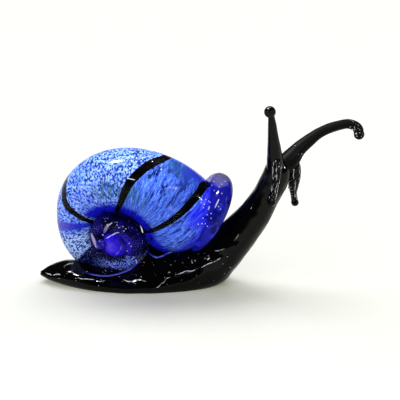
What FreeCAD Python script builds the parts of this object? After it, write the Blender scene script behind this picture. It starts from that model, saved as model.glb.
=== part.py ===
import FreeCAD, Part
import math
import os

# Snail figurine in fused lamp-worked glass. Millimetres.
# X runs from the tail to the head, Y away from the side with the spire, Z up.
# The origin is on the flat underside of the foot, below the middle of the foot.

V = FreeCAD.Vector

# Black gather: foot, neck and head drawn from one rod
tail_x = -22.1
foot_length = 36.5
foot_half_width = 8.9
ridge_height = 9.5
neck_reach = 15.9
neck_rise = 23.4
neck_radius = 3.5

# Shell: one tapering gather of foil glass wound into a coil, its open end towards the head
shell_x = -7.2
shell_side = -4.0
mouth_tube_radius = 8.9
whorl_sag = 1.5
shell_sink = 2.0
casing_thickness = 0.67
mouth_advance = 6.1
mouth_drop = 0.9
mouth_drift = 1.0
mouth_belly_depth = 0.5
mouth_rim_radius = 7.2
lip_bead_radius = 1.9
lip_set_back = 0.2
heart_depth = 7.5
heart_radius = 6.5
lip_swell_share = 0.22
spire_tip_radius = 1.05
spire_lean = 2.4
spire_lift = 0.7
spire_rise = 1.5

# Black glass threads laid round the foil before the clear casing
stripe_thickness = 0.3
stripe_wide = 2.6
stripe_narrow = 1.1

# Eye stalks, each from its root beside the top of the head, and their beads
near_stalk_height = 11.6
near_stalk_radius = 2.0
near_bead_radius = 1.27
far_stalk_length = 15.9
far_stalk_radius = 1.05
far_bead_radius = 1.17

# Feelers, drops of glass that hang from the head
near_feeler_drop = 9.4
near_feeler_radius = 0.8
far_feeler_drop = 9.4
far_feeler_radius = 1.3
feeler_ball_radius = 0.85

# Foot sections from the tail to the neck root. Along is a share of foot_length, half width
# of foot_half_width, and centre height, flank, crown and belly are shares of ridge_height.
foot_section_shares = (
    (0.000, 0.185, 0.05, 0.045, 0.00, 0.045),
    (0.022, 0.190, 0.18, 0.082, 0.00, 0.082),
    (0.060, 0.205, 0.34, 0.150, 0.00, 0.155),
    (0.112, 0.205, 0.47, 0.210, 0.00, 0.217),
    (0.185, 0.195, 0.60, 0.245, 0.03, 0.290),
    (0.330, 0.150, 0.84, 0.140, 0.10, 0.360),
    (0.510, 0.131, 1.00, 0.120, 0.14, 0.410),
    (0.610, 0.140, 1.00, 0.190, 0.46, 0.430),
    (0.690, 0.150, 1.00, 0.250, 0.62, 0.440),
    (0.790, 0.190, 0.95, 0.330, 0.53, 0.480),
    (0.890, 0.253, 0.88, 0.360, 0.42, 0.540),
)

# Neck and head sections: forward and up are shares of neck_reach and neck_rise from the
# neck root, half depth and half width of neck_radius. The last is the lean in degrees.
neck_section_shares = (
    (0.000, 0.000, 1.50, 1.85, 28.0),
    (0.185, 0.085, 1.28, 1.48, 42.0),
    (0.445, 0.285, 1.10, 1.25, 50.0),
    (0.650, 0.470, 0.94, 1.08, 55.0),
    (0.797, 0.637, 0.83, 0.94, 58.0),
    (0.905, 0.790, 0.83, 0.90, 62.0),
    (0.962, 0.910, 0.74, 0.84, 68.0),
    (1.000, 1.000, 0.30, 0.36, 74.0),
)
neck_root_share = 0.48

# Roots of the drawn rods from the top of the head, as shares of neck_radius, and their
# reach forward, sideways and up, as shares of their own length, height or drop
near_stalk_root_shares = (-0.34, -0.37, -0.37)
near_stalk_reach_shares = (-0.103, -0.302, 1.0)
far_stalk_root_shares = (0.40, 0.29, -0.37)
far_stalk_reach_shares = (1.0, 0.377, 0.459)
near_feeler_root_shares = (-0.29, -0.89, 0.09)
near_feeler_reach_shares = (-0.106, -0.106, -1.0)
far_feeler_root_shares = (0.71, 0.46, -0.34)
far_feeler_reach_shares = (0.053, 0.053, -1.0)

# Drawn rods, from root to end: forward, sideways and up as shares of the rod's reach,
# then its radius as a share of the rod's own
near_stalk_shares = (
    (0.00, 0.00, 0.00, 1.00), (0.13, 0.14, 0.13, 0.88), (0.46, 0.49, 0.46, 0.67),
    (0.79, 0.80, 0.79, 0.48), (1.02, 1.00, 1.00, 0.36), (1.30, 1.06, 1.11, 0.36),
)
far_stalk_shares = (
    (-0.07, -0.06, -0.13, 2.00), (0.065, 0.08, 0.16, 1.75), (0.14, 0.17, 0.34, 1.42),
    (0.23, 0.27, 0.50, 1.29), (0.42, 0.47, 0.78, 1.07), (0.61, 0.65, 0.93, 0.98),
    (0.80, 0.82, 1.00, 0.96), (0.90, 0.90, 0.96, 1.00), (0.975, 0.97, 0.84, 1.04),
    (1.00, 1.00, 0.645, 1.05),
)
near_feeler_shares = (
    (0.0, 0.00, 0.00, 0.90), (0.0, 0.18, 0.18, 1.15), (0.1, 0.45, 0.45, 1.05),
    (0.5, 0.75, 0.75, 0.90), (1.0, 1.00, 1.00, 0.85),
)
far_feeler_shares = (
    (-0.6, 0.00, 0.00, 0.80), (0.2, 0.20, 0.16, 1.05), (0.4, 0.40, 0.38, 1.08),
    (0.2, 0.60, 0.60, 0.86), (0.4, 0.80, 0.78, 0.58), (1.0, 1.00, 1.00, 0.52),
)

# Cone in the middle of the shell, from the spire's tip: depth, then radius
heart_section_shares = ((0.0, 0.10), (0.80, 1.0), (0.92, 0.86), (0.98, 0.60), (1.0, 0.25))

# Facets round each form
body_sides = 24
tube_sides = 24
spire_sides = 16
heart_sides = 16
rod_sides = 12
ball_sides = 14
ball_rings = 9
lip_sides = 18
lip_steps = 32
smoothing_steps = 2

# The coil's proportions, where each whorl lies against the next, and the directions it faces
coil_radius_share = 1.54
coil_depth_share = 1.146
whorl_growth = 3.2
mouth_bearing_deg = 21.5
spire_pitch_deg = 14.5
spire_yaw_deg = 20.5
mouth_facing_shares = (0.88, 0.16, -0.45)
mouth_span_deg = 30.0
belly_place_deg = -10.0
belly_reach_deg = 24.0
sag_place_deg = 340.0
sag_reach_deg = 110.0
sag_forward_share = 0.3
gather_end_deg = 330.0
spire_end_deg = 680.0
spire_share = 0.97
coil_step_deg = 15.0
spire_step_deg = 20.0

# Where each thread crosses the tube, in degrees back from the mouth, then how far its outer
# end leads towards the mouth and how far its near side lags behind
stripe_places_deg = {
    "stripe_front": (3.0, 0.0, 14.0),
    "stripe_middle": (45.0, 18.0, 18.0),
    "stripe_rear": (131.0, 26.0, 0.0),
}
stripe_reach_deg = 45.0
stripe_reach_share = 1.3


def unit(vector):
    return vector * (1.0 / vector.Length)


def turns(count):
    return [2 * math.pi * step / count for step in range(count)]


def ring(centre, across, direction, radius, sides):
    over = direction.cross(across)
    return [centre + (across * math.cos(turn) + over * math.sin(turn)) * radius
            for turn in turns(sides)]


def skin(rings, closed=False):
    """Triangles over the rings, each ring joined to the next."""
    faces = []
    followers = rings[1:] + rings[:1] if closed else rings[1:]
    for near, far in zip(rings, followers):
        for side in range(len(near)):
            following = (side + 1) % len(near)
            for corners in ((near[side], near[following], far[following]),
                            (near[side], far[following], far[side])):
                faces.append(Part.Face(Part.makePolygon(corners + corners[:1])))
    return faces


def cap(points):
    return Part.Face(Part.makePolygon(points + points[:1]))


def solid_of(faces):
    solid = Part.makeSolid(Part.makeShell(faces))
    if solid.Volume < 0:
        solid.reverse()
    return solid


def lofted(rings):
    return solid_of(skin(rings) + [cap(rings[0]), cap(rings[-1])])


def eased(rows, steps):
    """Rows of numbers with more rows between them, on a smooth curve through them all."""
    filled = []
    for index in range(len(rows) - 1):
        before = rows[max(index - 1, 0)]
        start, end = rows[index], rows[index + 1]
        after = rows[min(index + 2, len(rows) - 1)]
        for step in range(steps):
            t = step / steps
            filled.append([
                0.5 * (2 * b + (c - a) * t + (2 * a - 5 * b + 4 * c - d) * t * t
                       + (3 * b - a - 3 * c + d) * t ** 3)
                for a, b, c, d in zip(before, start, end, after)])
    filled.append(list(rows[-1]))
    return filled


# The black gather: oval sections on a spine that lies along the foot and then rises.

neck_root = V(tail_x + foot_length, 0, ridge_height * neck_root_share)
head_top = neck_root + V(neck_reach, 0, neck_rise)


def oval_section(x, z, half_width, flank, crown, belly, lean_deg):
    lean = math.radians(lean_deg)
    upward = V(-math.sin(lean), 0, math.cos(lean))
    points = []
    for turn in turns(body_sides):
        height = math.sin(turn)
        reach = flank * height + crown * height ** 3 if height > 0 else belly * height
        points.append(V(x, half_width * math.cos(turn), z) + upward * reach)
    return points


def black_gather():
    rows = []
    for along, rise, width, flank, crown, belly in foot_section_shares:
        rows.append((
            tail_x + along * foot_length, rise * ridge_height, width * foot_half_width,
            flank * ridge_height, crown * ridge_height, belly * ridge_height, 0.0))
    for forward, up, depth, width, lean_deg in neck_section_shares:
        rows.append((
            neck_root.x + forward * neck_reach, neck_root.z + up * neck_rise,
            width * neck_radius, depth * neck_radius, 0.0, depth * neck_radius, lean_deg))
    sections = [oval_section(*row) for row in eased(rows, smoothing_steps)]
    below = Part.makeBox(
        2 * foot_length, 4 * foot_half_width, ridge_height,
        V(tail_x - foot_length / 2, -2 * foot_half_width, -ridge_height))
    return lofted(sections).cut(below)


# The coil: a log spiral whose centre line also travels along the spire's axis.

pitch = math.radians(spire_pitch_deg)
yaw = math.radians(spire_yaw_deg)
spire_axis = V(
    -math.sin(yaw) * math.cos(pitch), -math.cos(yaw) * math.cos(pitch), -math.sin(pitch))
coil_radius = mouth_tube_radius * coil_radius_share
coil_depth = mouth_tube_radius * coil_depth_share
coil_right = unit(V(1, 0, 0) - spire_axis * spire_axis.x)
coil_up = spire_axis.cross(coil_right)


def coil_offset(back_deg):
    shrink = whorl_growth ** (-back_deg / 360.0)
    bearing = math.radians(mouth_bearing_deg + back_deg)
    outward = coil_right * math.cos(bearing) + coil_up * math.sin(bearing)
    return (outward * coil_radius - spire_axis * coil_depth) * shrink


def coil_direction(back_deg):
    return unit(coil_offset(back_deg - 1) - coil_offset(back_deg + 1))


def swell(back_deg, place_deg, reach_deg):
    """A smooth hump along the tube, 1 at its place and 0 beyond its reach."""
    return max(0.0, 1 - ((back_deg - place_deg) / reach_deg) ** 2) ** 2


def whorl_shift(back_deg):
    """How far the second whorl slumped while it was hot, and the last was drawn out."""
    slump = V(sag_forward_share, 0, -1) * (
        whorl_sag * swell(back_deg, sag_place_deg, sag_reach_deg))
    share = max(0.0, (back_deg - gather_end_deg) / (spire_end_deg - gather_end_deg))
    return slump + (V(-spire_lean, 0, spire_lift) + spire_axis * spire_rise) * share ** 3


shell_apex = V(
    shell_x, shell_side, ridge_height - shell_sink + mouth_tube_radius - coil_offset(0).z)
coil_end = shell_apex + coil_offset(0)
mouth_facing = unit(V(*mouth_facing_shares))
foil_share = 1 - casing_thickness / mouth_tube_radius
mouth_centre = coil_end + V(mouth_advance, mouth_drift, -mouth_drop)


def tube_station(back_deg):
    """Centre, side, direction and radius of the wound tube, from the mouth to the apex."""
    if back_deg >= 0:
        centre = shell_apex + coil_offset(back_deg) + whorl_shift(back_deg)
        direction = coil_direction(back_deg)
        radius = mouth_tube_radius * whorl_growth ** (-back_deg / 360.0)
    else:
        ahead = -back_deg / mouth_span_deg
        start = coil_direction(0)
        bend = coil_end + start * (mouth_advance / 2)
        centre = (coil_end * (1 - ahead) ** 2 + bend * (2 * ahead * (1 - ahead))
                  + mouth_centre * ahead ** 2)
        direction = unit(start * (1 - ahead) + mouth_facing * ahead)
        radius = mouth_tube_radius + (mouth_rim_radius - mouth_tube_radius) * ahead ** 2
    belly = mouth_belly_depth * swell(back_deg, belly_place_deg, belly_reach_deg)
    return (centre - V(0, 0, belly), unit(spire_axis.cross(direction)), direction,
            radius + belly)


def tube_rings(first_deg, last_deg, step_deg, sides, radius_share, extra_radius=0.0):
    steps = round((last_deg - first_deg) / step_deg)
    rings = []
    for step in range(steps + 1):
        back_deg = first_deg + (last_deg - first_deg) * step / steps
        centre, across, direction, radius = tube_station(back_deg)
        rings.append(ring(centre, across, direction, radius * radius_share + extra_radius, sides))
    return rings


def casing_of(outside, inside):
    """The clear layer between two tubes, open at each end."""
    inner = [face.reversed() for face in skin(inside)]
    ends = skin([outside[-1], inside[-1]]) + skin([inside[0], outside[0]])
    return solid_of(skin(outside) + inner + ends)


def stripe_slab(back_deg, slant_deg, lag_deg):
    """A wedge across the whole tube, narrow towards the coil's middle and wide outside."""
    centre, outward, direction, radius = tube_station(back_deg)
    slant = math.radians(slant_deg)
    lag = math.radians(lag_deg)
    near_way = direction.cross(outward)
    long_way = outward * math.cos(slant) + direction * math.sin(slant)
    ahead_way = direction * math.cos(slant) - outward * math.sin(slant)
    side_way = near_way * math.cos(lag) - ahead_way * math.sin(lag)
    thick_way = long_way.cross(side_way)
    reach = radius * stripe_reach_share
    corners = [
        centre - long_way * reach - thick_way * (stripe_narrow / 2),
        centre - long_way * reach + thick_way * (stripe_narrow / 2),
        centre + long_way * reach + thick_way * (stripe_wide / 2),
        centre + long_way * reach - thick_way * (stripe_wide / 2),
    ]
    face = cap(corners)
    face.translate(side_way * -reach)
    return face.extrude(side_way * (2 * reach))


def glass_shell():
    whole = (-mouth_span_deg, gather_end_deg, coil_step_deg, tube_sides)
    outside = tube_rings(*whole, 1.0)
    inside = tube_rings(*whole, foil_share)
    core = lofted(inside)
    made = {}
    for name, (back_deg, slant_deg, lag_deg) in stripe_places_deg.items():
        slab = stripe_slab(back_deg, slant_deg, lag_deg)
        first_deg = max(back_deg - stripe_reach_deg, -mouth_span_deg)
        local = (first_deg, back_deg + stripe_reach_deg, coil_step_deg, tube_sides, foil_share)
        band = lofted(tube_rings(*local, stripe_thickness)).common(slab)
        band = band.cut(lofted(tube_rings(*local, -stripe_thickness)))
        made[name] = core.common(band)
        core = core.cut(band)
    made["shell_core"] = core
    made["shell_casing"] = casing_of(outside, inside)
    return made, lofted(outside)


def glass_heart():
    """The cone of cobalt glass that the gather was wound round, behind the spire."""
    tip = tube_station(spire_end_deg)[0]
    along = shell_apex - spire_axis * heart_depth - tip
    across = unit(V(0, 0, 1).cross(along))
    return lofted([
        ring(tip + along * depth, across, unit(along), heart_radius * width, heart_sides)
        for depth, width in heart_section_shares])


def rolled_lip():
    """A bead round the mouth, thickest at the top."""
    centre, across, direction, radius = tube_station(-mouth_span_deg)
    over = direction.cross(across)
    rings = []
    for turn in turns(lip_steps):
        outward = across * math.cos(turn) + over * math.sin(turn)
        middle = centre + outward * (radius - lip_set_back)
        bead = lip_bead_radius * (1 + lip_swell_share * outward.z)
        rings.append(ring(middle, outward, direction.cross(outward), bead, lip_sides))
    return solid_of(skin(rings, closed=True))


# Rods and drops drawn out of the hot glass.


def drawn_rod(root, reach, radius, stations):
    """A solid along a line drawn by hand from the root, and the line's last point."""
    rows = eased(stations, smoothing_steps)
    start = head_top + root
    centres = [start + V(reach.x * forward, reach.y * sideways, reach.z * up)
               for forward, sideways, up, _ in rows]
    rings = []
    for index, row in enumerate(rows):
        ahead = centres[min(index + 1, len(centres) - 1)]
        direction = unit(ahead - centres[max(index - 1, 0)])
        across = unit(V(0, 1, 0) - direction * direction.y)
        rings.append(ring(centres[index], across, direction, radius * row[-1], rod_sides))
    return lofted(rings), centres[-1]


def ball(centre, radius):
    rings = []
    for step in range(ball_rings):
        tilt = math.pi * (step + 0.5) / ball_rings
        middle = centre + V(0, 0, -radius * math.cos(tilt))
        rings.append(ring(middle, V(1, 0, 0), V(0, 0, 1), radius * math.sin(tilt), ball_sides))
    return lofted(rings)


def beaded_stalk(root, reach, radius, stations, bead_radius):
    rod, end = drawn_rod(root, reach, radius, stations)
    bead = ball(end, bead_radius)
    return rod.cut(bead), bead


def feeler(root, reach, radius, stations):
    rod, end = drawn_rod(root, reach, radius, stations)
    return rod.fuse(ball(end, feeler_ball_radius)).removeSplitter()


os.makedirs("parts", exist_ok=True)

pieces, shell_outside = glass_shell()
tip_centre = tube_station(spire_end_deg)[0]
pieces["spire_tip"] = ball(tip_centre, spire_tip_radius)
spire = lofted(tube_rings(
    gather_end_deg, spire_end_deg, spire_step_deg, spire_sides, spire_share))
pieces["shell_spire"] = spire.cut(shell_outside).cut(pieces["spire_tip"])
pieces["shell_heart"] = glass_heart().cut(shell_outside).cut(spire).cut(pieces["spire_tip"])
lip = rolled_lip().cut(shell_outside)
pieces["shell_lip"] = lip

body = black_gather().cut(shell_outside).cut(lip).cut(spire).cut(pieces["shell_heart"])
pieces["snail_body"] = body
near_stalk, pieces["near_eye_bead"] = beaded_stalk(
    V(*near_stalk_root_shares) * neck_radius, V(*near_stalk_reach_shares) * near_stalk_height,
    near_stalk_radius, near_stalk_shares, near_bead_radius)
far_stalk, pieces["far_eye_bead"] = beaded_stalk(
    V(*far_stalk_root_shares) * neck_radius, V(*far_stalk_reach_shares) * far_stalk_length,
    far_stalk_radius, far_stalk_shares, far_bead_radius)
pieces["near_eye_stalk"] = near_stalk.cut(body)
pieces["far_eye_stalk"] = far_stalk.cut(body).cut(near_stalk)
near_feeler = feeler(
    V(*near_feeler_root_shares) * neck_radius, V(*near_feeler_reach_shares) * near_feeler_drop,
    near_feeler_radius, near_feeler_shares)
far_feeler = feeler(
    V(*far_feeler_root_shares) * neck_radius, V(*far_feeler_reach_shares) * far_feeler_drop,
    far_feeler_radius, far_feeler_shares)
pieces["near_feeler"] = near_feeler.cut(body).cut(near_stalk)
pieces["far_feeler"] = far_feeler.cut(body).cut(far_stalk)

for name, piece in pieces.items():
    piece.exportStep(f"parts/{name}.step")
    print(name, len(piece.Solids), piece.isValid(), round(piece.Volume, 2))
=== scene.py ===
import bmesh
import bpy
import math
import random
from mathutils import Matrix, Vector, noise
from mathutils.bvhtree import BVHTree


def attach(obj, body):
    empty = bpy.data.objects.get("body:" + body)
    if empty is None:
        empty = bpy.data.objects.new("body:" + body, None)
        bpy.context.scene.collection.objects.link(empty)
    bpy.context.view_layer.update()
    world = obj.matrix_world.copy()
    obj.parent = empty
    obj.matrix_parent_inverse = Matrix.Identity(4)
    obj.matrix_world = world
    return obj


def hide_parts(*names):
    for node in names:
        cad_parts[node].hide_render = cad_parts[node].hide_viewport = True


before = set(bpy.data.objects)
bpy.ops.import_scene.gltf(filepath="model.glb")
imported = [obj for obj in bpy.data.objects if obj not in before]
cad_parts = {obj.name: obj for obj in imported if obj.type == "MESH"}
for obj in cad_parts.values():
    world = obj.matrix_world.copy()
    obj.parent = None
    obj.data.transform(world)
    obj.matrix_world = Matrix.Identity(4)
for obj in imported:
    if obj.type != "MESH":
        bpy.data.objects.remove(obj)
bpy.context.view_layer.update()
mm = 0.001

# Foot, neck and head: one gather of black glass, pulled out over the table and up into a
# neck while it was soft. Its top stays lumpy, its underside is flat from the table.

tail_x = -22.1
foot_length = 36.5
foot_half_width = 8.35
ridge_height = 9.5
neck_reach = 15.9
neck_rise = 23.4
neck_radius = 3.5
neck_fullness = 1.09
neck_forward = 0.15
neck_root = Vector((tail_x + foot_length, 0, 0.48 * ridge_height))
head_top = neck_root + Vector((neck_reach, 0, neck_rise))
foot_section_shares = (
    (0.000, 0.185, 0.05, 0.045, 0.00, 0.045),
    (0.022, 0.190, 0.18, 0.082, 0.00, 0.082),
    (0.060, 0.205, 0.34, 0.150, 0.00, 0.155),
    (0.112, 0.205, 0.47, 0.210, 0.00, 0.217),
    (0.185, 0.195, 0.60, 0.245, 0.03, 0.290),
    (0.330, 0.150, 0.84, 0.140, 0.10, 0.360),
    (0.510, 0.131, 1.00, 0.120, 0.14, 0.410),
    (0.610, 0.140, 1.00, 0.190, 0.46, 0.430),
    (0.690, 0.150, 1.00, 0.250, 0.62, 0.440),
    (0.790, 0.190, 0.95, 0.330, 0.53, 0.480),
    (0.890, 0.253, 0.88, 0.360, 0.42, 0.540),
)
neck_section_shares = (
    (0.000, 0.000, 1.50, 1.85, 28.0),
    (0.185, 0.085, 1.28, 1.48, 42.0),
    (0.445, 0.285, 1.10, 1.25, 50.0),
    (0.650, 0.470, 0.94, 1.08, 55.0),
    (0.797, 0.637, 0.83, 0.94, 58.0),
    (0.905, 0.790, 0.83, 0.90, 62.0),
    (0.962, 0.910, 0.74, 0.84, 68.0),
    (1.000, 1.000, 0.30, 0.36, 74.0),
)
body_sides = 184
body_steps = 8
ripple_height, ripple_length, ripple_stretch = 0.34, 5.0, 0.55
fine_ripple_height, fine_ripple_length, fine_ripple_stretch = 0.20, 1.7, 0.6
ripple_floor = 1.2
ripple_sink, neck_calm = 0.12, 0.45
ridge_lift, ridge_half_width, ridge_wander = 0.26, 0.42, 0.4
ridge_share, ridge_breaks = 0.55, 1.3
ridge_lines = (
    ((-19.0, 2.9), (-15.5, 3.6), (-12.9, 2.8), (-9.7, 2.6), (-7.5, 2.3), (-3.2, 2.6),
     (0.3, 2.9), (3.6, 2.1), (5.7, 3.4), (10.0, 4.6), (12.3, 5.2), (14.7, 6.1), (17.6, 7.2)),
    ((12.8, 6.9), (15.8, 8.2), (18.3, 9.0), (21.0, 9.8)),
)


def eased(rows, steps):
    """Rows of numbers with more rows between them, on a smooth curve through them all."""
    filled = []
    for index in range(len(rows) - 1):
        before = rows[max(index - 1, 0)]
        start, end = rows[index], rows[index + 1]
        after = rows[min(index + 2, len(rows) - 1)]
        for step in range(steps):
            t = step / steps
            filled.append([
                0.5 * (2 * b + (c - a) * t + (2 * a - 5 * b + 4 * c - d) * t * t
                       + (3 * b - a - 3 * c + d) * t ** 3)
                for a, b, c, d in zip(before, start, end, after)])
    filled.append(list(rows[-1]))
    return filled


def hoop(glass, sides):
    """A unit ring, as its vertices and its edges, to be shaped and joined to the next."""
    points = bmesh.ops.create_circle(glass, segments=sides, radius=1)["verts"]
    return points, list(dict.fromkeys(edge for point in points for edge in point.link_edges))


def drawn_out(glass, hoops, closed=False):
    """Glass pulled from each hoop to the next, closed at both ends or into a loop."""
    for near, far in zip(hoops, hoops[1:]):
        bmesh.ops.bridge_loops(glass, edges=near[1] + far[1])
    if closed:
        bmesh.ops.bridge_loops(glass, edges=hoops[-1][1] + hoops[0][1])
    else:
        for points, edges in (hoops[0], hoops[-1]):
            end = bmesh.ops.edgeloop_fill(glass, edges=edges)["faces"]
            bmesh.ops.poke(glass, faces=end)
    bmesh.ops.recalc_face_normals(glass, faces=glass.faces)


def set_down(glass, name, nodes, finish):
    """The finished piece, in metres, in place of its plain solid."""
    bmesh.ops.scale(glass, vec=(mm, mm, mm), verts=glass.verts)
    mesh = bpy.data.meshes.new(name)
    glass.to_mesh(mesh)
    glass.free()
    mesh.shade_smooth()
    mesh.materials.append(finish)
    piece = bpy.data.objects.new(name, mesh)
    bpy.context.scene.collection.objects.link(piece)
    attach(piece, "root")
    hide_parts(*nodes)


def new_finish(name):
    """A material, its nodes and its shader."""
    finish = bpy.data.materials.new(name)
    finish.use_nodes = True
    return finish, finish.node_tree, finish.node_tree.nodes["Principled BSDF"]


def feed(made, inputs):
    """Each input of a node is given a value or another node's output."""
    for key, value in inputs.items():
        if isinstance(value, bpy.types.NodeSocket):
            tree.links.new(value, made.inputs[key])
        else:
            made.inputs[key].default_value = value


def node(kind, inputs=None, **settings):
    """A node in the material at hand, with its settings and its inputs."""
    made = tree.nodes.new(kind)
    for key, value in settings.items():
        setattr(made, key, value)
    feed(made, inputs or {})
    return made


def math_node(operation, first, second=0.0, third=0.0, clamp=False):
    return node("ShaderNodeMath", {0: first, 1: second, 2: third}, operation=operation,
                use_clamp=clamp).outputs[0]


def times(first, second):
    return math_node("MULTIPLY", first, second)


def ramp(value, low, high, first=0.0, last=1.0):
    """A value that runs evenly from first to last while another runs from low to high."""
    return node("ShaderNodeMapRange", {
        "Value": value, "From Min": low, "From Max": high, "To Min": first, "To Max": last
    }).outputs[0]


def place_in_piece():
    """Where a point of the piece is, in metres."""
    return node("ShaderNodeTexCoord").outputs["Object"]


def split(vector):
    return node("ShaderNodeSeparateXYZ", {"Vector": vector}).outputs


def bumps(height, strength, distance):
    """A skin with bumps too small to be modelled."""
    return node("ShaderNodeBump", {
        "Height": height, "Strength": strength, "Distance": distance}).outputs[0]


rough_until_x, smooth_from_x, seeds_on_neck = 16.0, 24.0, 0.12
black_glass, tree, shader = new_finish("black glass")
where = place_in_piece()
cords = node("ShaderNodeMapping", {"Vector": where, "Scale": (0.4, 1, 1)}).outputs[0]
seeds = node("ShaderNodeTexNoise", {"Vector": cords, "Scale": 420.0, "Detail": 0.5}).outputs[0]
seeds = times(seeds, ramp(split(where)[0], smooth_from_x * mm, rough_until_x * mm, seeds_on_neck))
feed(shader, {"Base Color": (0.0012, 0.0012, 0.0015, 1), "Roughness": 0.035, "IOR": 1.50,
              "Specular IOR Level": 0.14, "Normal": bumps(seeds, 0.8, 0.0003)})


def ripple(point, amount):
    """How far the surface of the soft glass stands up at a point."""
    broad = noise.noise(Vector((point.x * ripple_stretch, point.y, point.z)) / ripple_length)
    fine = noise.noise(
        Vector((point.x * fine_ripple_stretch, point.y, point.z)) / fine_ripple_length)
    return amount * (broad * ripple_height + fine * fine_ripple_height)


def ridge(point):
    """The pulled edges along both flanks, broken here and there."""
    rise = 0.0
    for line in ridge_lines:
        for (x0, z0), (x1, z1) in zip(line, line[1:]):
            if x0 <= point.x < x1:
                middle = z0 + (z1 - z0) * (point.x - x0) / (x1 - x0)
                middle += ridge_wander * noise.noise(Vector((point.x * 0.9, 7.0, 0.0)))
                strong = ridge_share + ridge_breaks * noise.noise(
                    Vector((point.x * 0.45, 3.0, point.y * 0.05)))
                rise += max(0.0, strong) * math.exp(
                    -((point.z - middle) / ridge_half_width) ** 2)
    return ridge_lift * rise


glass = bmesh.new()
hoops = []
body_rows = [
    (tail_x + along * foot_length, rise * ridge_height, width * foot_half_width,
     flank * ridge_height, crown * ridge_height, belly * ridge_height, 0.0)
    for along, rise, width, flank, crown, belly in foot_section_shares]
body_rows += [
    (neck_root.x + forward * neck_reach + neck_forward, neck_root.z + up * neck_rise,
     width * neck_radius, depth * neck_radius * neck_fullness, 0.0,
     depth * neck_radius * neck_fullness, lean)
    for forward, up, depth, width, lean in neck_section_shares]
for x, z, half_width, flank, crown, belly, lean in eased(body_rows, body_steps):
    points, edges = hoop(glass, body_sides)
    upward = Vector((-math.sin(math.radians(lean)), 0, math.cos(math.radians(lean))))
    for point in points:
        side, height = point.co.x, point.co.y
        reach = flank * height + crown * height ** 3 if height > 0 else belly * height
        point.co = Vector((x, half_width * side, z)) + upward * reach
    hoops.append((points, edges))
drawn_out(glass, hoops)
glass.normal_update()
lifts = []
for point in glass.verts:
    lumpy = min(1.0, max(0.0, (point.co.z - ripple_floor) / ripple_floor))
    calm = 1.0 if point.co.x < neck_root.x else neck_calm
    lifts.append(point.normal * (ripple(point.co, lumpy * calm) - ripple_sink * lumpy
                                 + ridge(point.co)))
for point, lift in zip(glass.verts, lifts):
    point.co += lift
    point.co = (max(tail_x, point.co.x), point.co.y, max(0.0, point.co.z))
glass.normal_update()
body_skin = BVHTree.FromBMesh(glass)
set_down(glass, "body", ["snail_body"], black_glass)

# Painted highlights: white hairs laid along the pulled edges of the foot, and white specks
# scattered over it as painted glints, like tiny bubbles in the black glass.

highlight_line_radius, hair_sides, hair_steps = 0.095, 16, 5
hair_tip_share, hair_taper = 0.35, 4
flank_painted_glints, flank_glint_sizes, flank_glint_stretch = 130, (0.03, 0.085), 2.2
glints_along, glints_out, glints_up = (-20.0, 20.0), (3, 9), (1.8, 8.0)
glint_floor = 0.2
painted_highlight_lines = (
    ((-13.6, -5.7, 3.0), (-12.6, -5.8, 2.7), (-11.5, -5.9, 2.9), (-10.6, -5.9, 2.6),
     (-9.7, -5.9, 2.7)),
    ((-9.2, -6.4, 2.6), (-8.6, -6.5, 2.2), (-8.0, -6.5, 2.3), (-7.3, -6.5, 2.7)),
    ((-3.6, -6.2, 2.7), (-2.7, -6.6, 2.3), (-1.9, -6.9, 2.5), (-1.0, -6.9, 2.9),
     (0.4, -7.3, 2.9), (1.4, -7.4, 2.6)),
    ((3.6, -8.6, 1.6), (4.2, -8.6, 2.0), (4.7, -8.3, 2.6), (5.2, -8.0, 2.8), (5.8, -7.7, 3.5),
     (6.8, -7.5, 3.7)),
    ((7.6, -7.3, 4.2), (8.8, -7.0, 4.3), (10.0, -6.7, 4.8), (11.2, -6.7, 4.7), (12.5, -6.5, 5.3)),
    ((13.2, -6.4, 5.4), (14.7, -5.9, 6.1), (16.2, -5.5, 6.5), (17.5, -5.1, 7.2)),
    ((16.2, -4.4, 8.4), (17.2, -4.4, 8.6), (18.4, -4.6, 9.1)),
    ((20.2, -4.5, 10.8), (20.8, -4.5, 11.5), (21.3, -4.4, 12.4)),
    ((-20.8, -1.3, 2.4), (-20.2, -2.0, 2.3), (-19.8, -2.3, 2.4), (-19.3, -2.6, 2.2)),
    ((-19.0, -2.9, 2.3), (-18.5, -3.2, 2.6), (-17.9, -3.4, 2.8), (-17.2, -3.7, 2.7)),
    ((-16.8, -1.7, 3.9), (-16.2, -1.3, 4.1), (-15.6, -1.1, 4.3), (-14.6, -0.8, 4.4)),
)


def heading(centres, index):
    """The way from the point before this one to the point after it."""
    return centres[min(index + 1, len(centres) - 1)] - centres[max(index - 1, 0)]


def ring(glass, sides, centre, across, over):
    """A hoop round a centre, as wide as across and over are long."""
    points, edges = hoop(glass, sides)
    for point in points:
        point.co = centre + across * point.co.x + over * point.co.y
    return points, edges


def laid_thread(glass, line, radius):
    """A hair laid through the points, thin at both ends, for painted highlight lines."""
    centres = [Vector(row) for row in eased(line, hair_steps)]
    hoops = []
    for index, centre in enumerate(centres):
        ahead = heading(centres, index)
        across = ahead.cross(Vector((0, 0, 1))).normalized()
        over = across.cross(ahead).normalized()
        from_end = min(index, len(centres) - 1 - index) / len(centres)
        wide = radius * min(1.0, hair_tip_share + hair_taper * from_end)
        hoops.append(ring(glass, hair_sides, centre, across * wide, over * wide))
    drawn_out(glass, hoops)


def mottle(scale, detail=2.0):
    """Noise in the piece's own space."""
    return node("ShaderNodeTexNoise", {
        "Vector": place_in_piece(), "Scale": scale, "Detail": detail}).outputs[0]


painted_highlight_white, tree, shader = new_finish("painted highlight white")
feed(shader, {"Base Color": ramp(mottle(1100.0), 0.40, 0.58, 0.10, 0.95), "Roughness": 0.3})

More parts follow.
